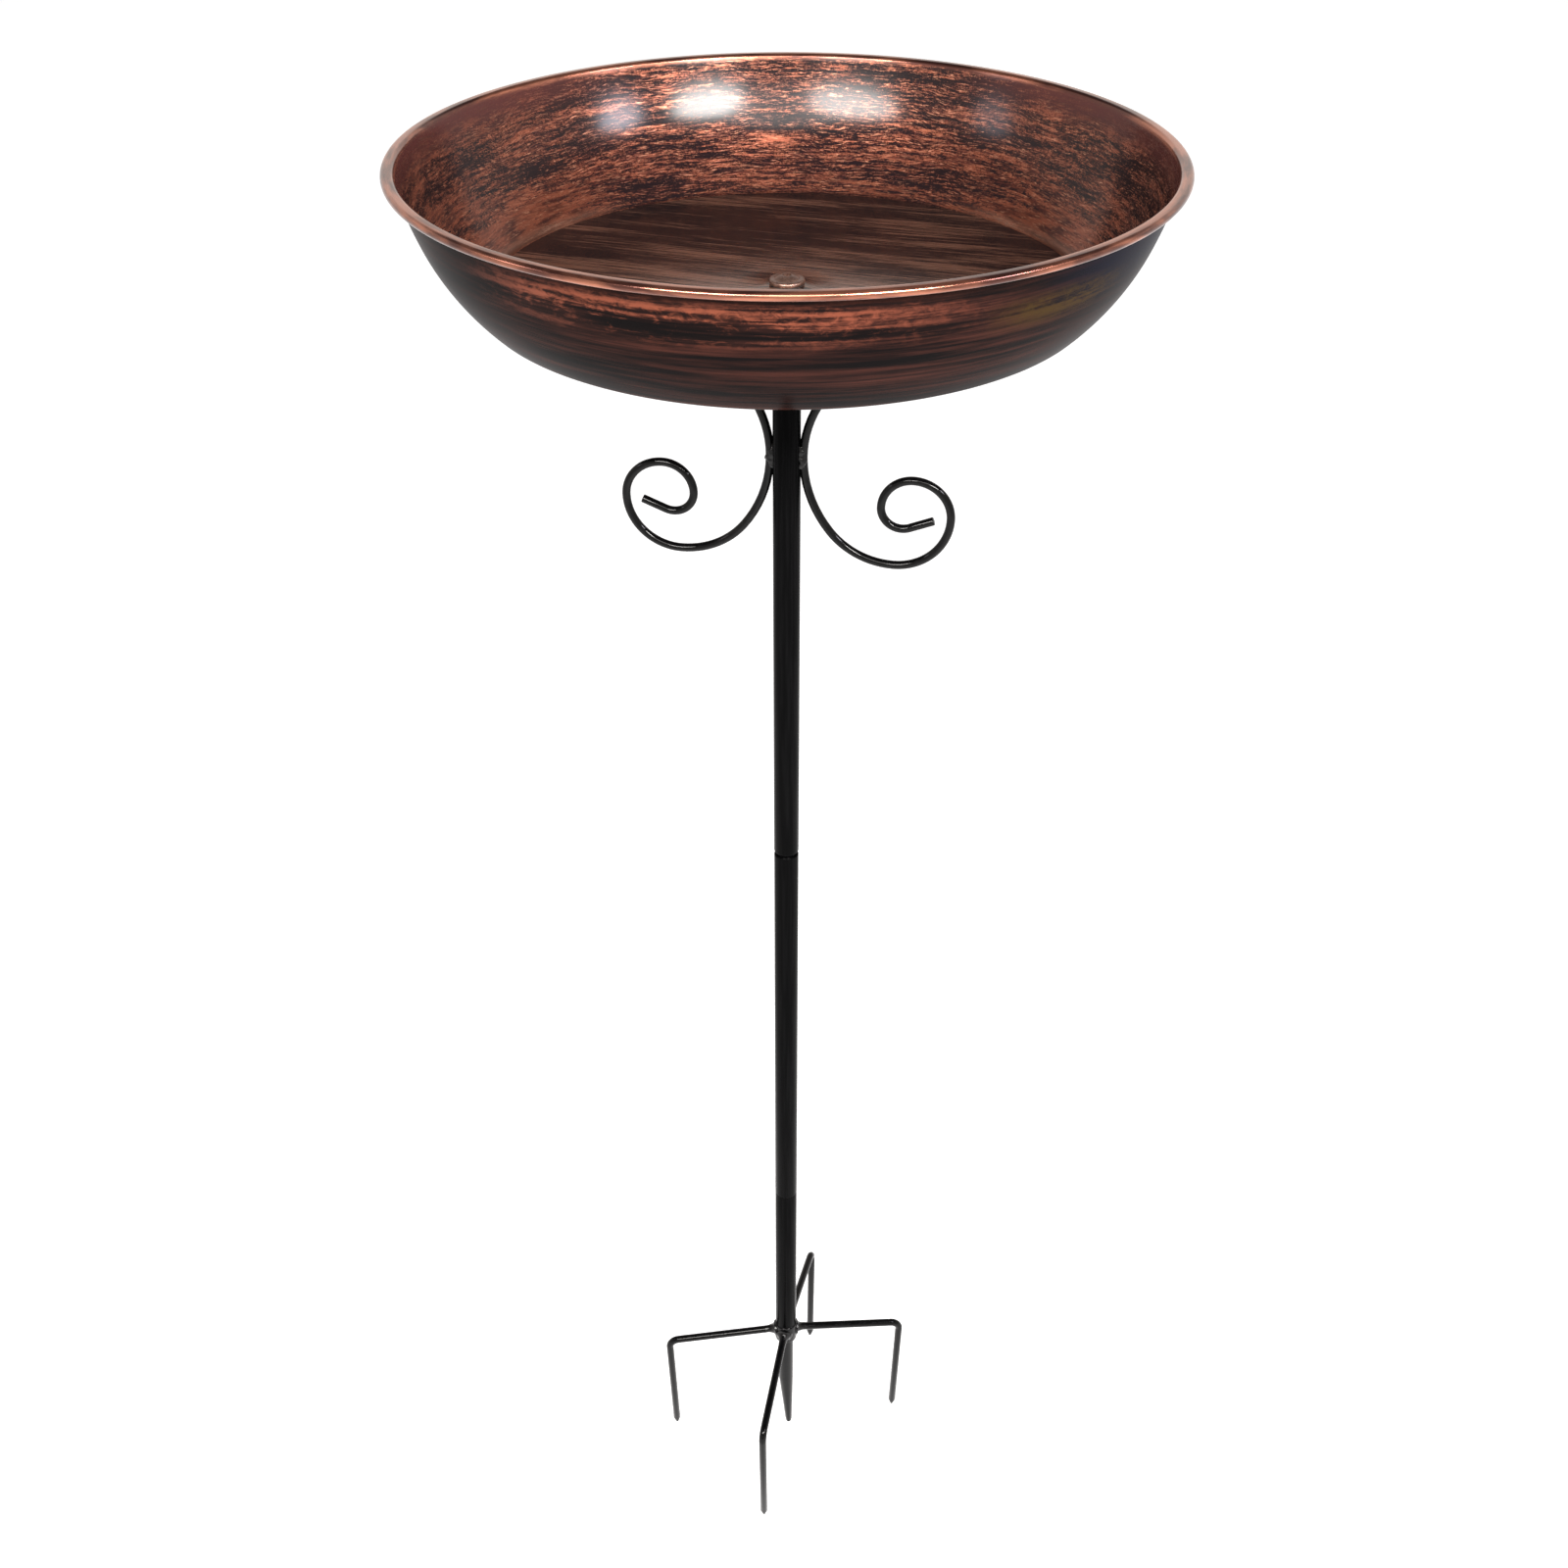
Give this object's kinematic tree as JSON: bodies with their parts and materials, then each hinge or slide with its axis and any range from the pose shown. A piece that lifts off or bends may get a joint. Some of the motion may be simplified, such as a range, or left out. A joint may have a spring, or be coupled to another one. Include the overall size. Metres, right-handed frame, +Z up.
{
  "type": "bird feeder on pole",
  "caption": "Shallow round copper-toned dish for feed or water on a thin black sectional garden pole, with wire scrolls under the dish and a pronged ground stake.",
  "frame": {"origin": "on the pole's axis at the ground line, the lower face of the stake collar", "axes": "+Z up along the pole; -Y towards the viewer; the two scrolls lie in an upright plane turned 10 degrees clockwise from the X axis, seen from above"},
  "size_m": [0.35, 0.35, 0.8744],
  "materials": {
    "bowl_copper": "antique brushed copper over black, clear lacquer, on pressed steel",
    "black_paint": "gloss black powder coat on steel",
    "screw_bronze": "dark bronze coated steel",
    "zinc_steel": "zinc plated",
    "black_rubber": "matte rubber"
  },
  "bodies": {
    "stake": {"stake_collar": "black_paint", "ground_spike": "black_paint", "prong_left": "black_paint", "prong_right": "black_paint", "prong_front": "black_paint", "prong_back": "black_paint", "prong_welds": "black_paint"},
    "lower_pole": {"lower_tube": "black_paint"},
    "middle_pole": {"middle_tube": "black_paint"},
    "upper_pole": {"upper_tube": "black_paint", "top_flange": "black_paint", "flange_weld": "black_paint", "tube_insert": "zinc_steel", "seat_washer": "black_rubber", "left_scroll": "black_paint", "right_scroll": "black_paint", "scroll_welds": "black_paint"},
    "dish": {"bowl": "bowl_copper"},
    "screw_washers": {"screw_washer": "screw_bronze", "sealing_washer": "black_rubber"},
    "dish_screw": {"bowl_screw": "screw_bronze"}
  },
  "joints": [
    {"name": "lower_tube_pull", "type": "slide", "parent": "stake", "child": "lower_pole", "axis": [0, 0, 1], "range_m": [0, 0.045]},
    {"name": "middle_tube_pull", "type": "slide", "parent": "lower_pole", "child": "middle_pole", "axis": [0, 0, 1], "range_m": [0, 0.045]},
    {"name": "upper_tube_pull", "type": "slide", "parent": "middle_pole", "child": "upper_pole", "axis": [0, 0, 1], "range_m": [0, 0.045]},
    {"name": "dish_turn", "type": "hinge", "parent": "upper_pole", "child": "dish", "pos_m": [0, 0, 0.724], "axis": [0, 0, 1], "continuous": true},
    {"name": "screw_rise", "type": "slide", "parent": "upper_pole", "child": "screw_washers", "axis": [0, 0, 1], "range_m": [0, 0.02]},
    {"name": "screw_turn", "type": "hinge", "parent": "screw_washers", "child": "dish_screw", "pos_m": [0, 0, 0.727], "axis": [0, 0, 1], "range_deg": [0, 7236]}
  ],
  "couplings": [
    {"joint": "screw_turn", "follows": "screw_rise", "rad_per_m": 6283.2}
  ]
}
